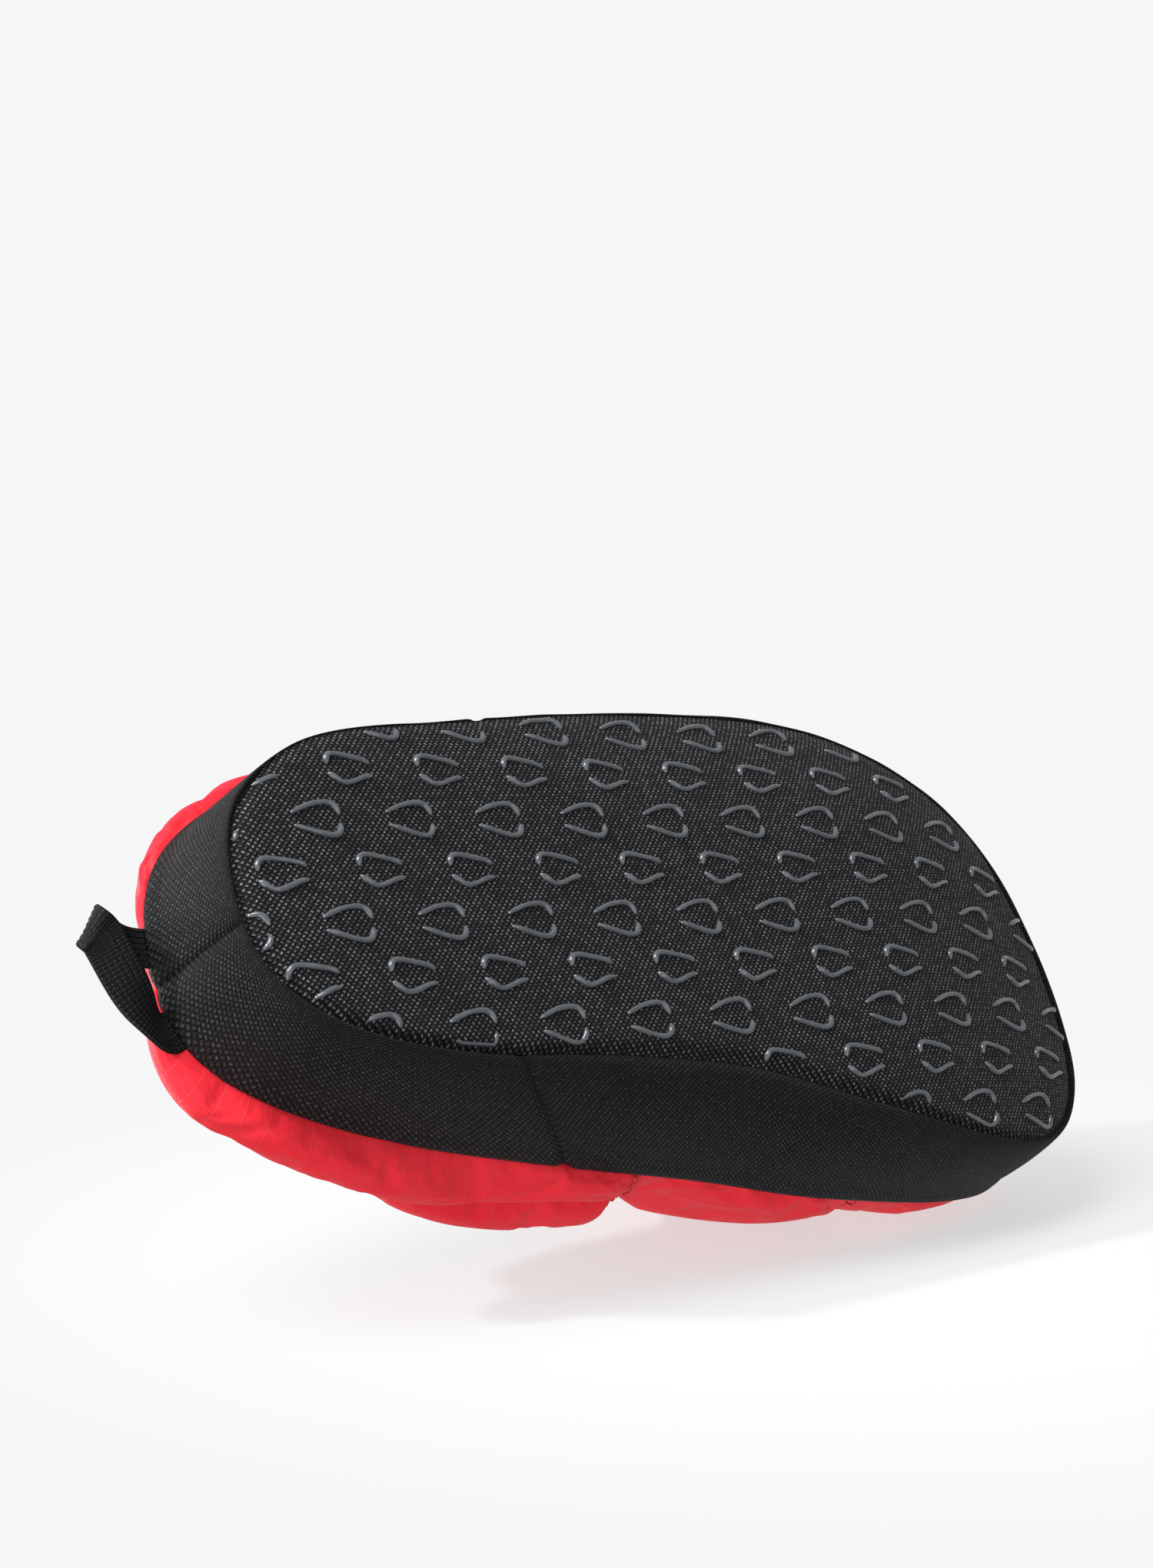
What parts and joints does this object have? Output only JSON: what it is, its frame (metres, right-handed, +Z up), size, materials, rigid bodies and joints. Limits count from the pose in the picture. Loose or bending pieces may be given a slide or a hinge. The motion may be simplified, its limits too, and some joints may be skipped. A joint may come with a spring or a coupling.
{
  "type": "camp slipper",
  "caption": "Quilted insulated slipper for a right foot: woven band and outsole, soft red upper round the foot's opening, pull loop at the heel.",
  "frame": {"origin": "on the outsole's flat underside, in the middle of the sole's length", "axes": "+X towards the toe, +Y towards the medial side of the right foot, +Z up through the opening"},
  "size_m": [0.2979, 0.1285, 0.0964],
  "materials": {
    "outsole": "coarse woven polyester, black, with silicone grip marks",
    "band": "coarse woven polyester, black",
    "board": "fibre board",
    "foam": "closed-cell EVA foam",
    "fleece": "short-pile fleece",
    "lining": "short-pile fleece",
    "shell": "ripstop nylon, red, soft sheen",
    "fill": "polyester wadding",
    "binding": "knitted stretch binding",
    "webbing": "ribbed polyester webbing, black"
  },
  "bodies": {
    "slipper": {"outsole_fabric": "outsole", "midsole_foam": "foam", "insole_board": "board", "footbed_foam": "foam", "footbed_fleece": "fleece", "band_heel_medial": "band", "band_heel_lateral": "band", "band_forefoot": "band", "heel_counter": "board", "band_foam_heel": "foam", "band_foam_forefoot": "foam", "lining_band_medial": "lining", "lining_band_lateral": "lining", "shell_quarter_medial": "shell", "shell_quarter_lateral": "shell", "shell_vamp": "shell", "shell_toe": "shell", "fill_quarter_medial": "fill", "fill_quarter_lateral": "fill", "fill_vamp": "fill", "fill_toe": "fill", "lining_quarter_medial": "lining", "lining_quarter_lateral": "lining", "lining_vamp": "lining", "collar_binding": "binding"},
    "pull_loop": {"heel_pull_loop": "webbing"}
  },
  "joints": [
    {"name": "loop_swing", "type": "hinge", "parent": "slipper", "child": "pull_loop", "pos_m": [-0.13761, 0.0146, 0.0361], "axis": [0.1211, 0.9919, -0.0374], "range_deg": [-40, 45], "stiffness_Nm_per_rad": 0.003}
  ]
}
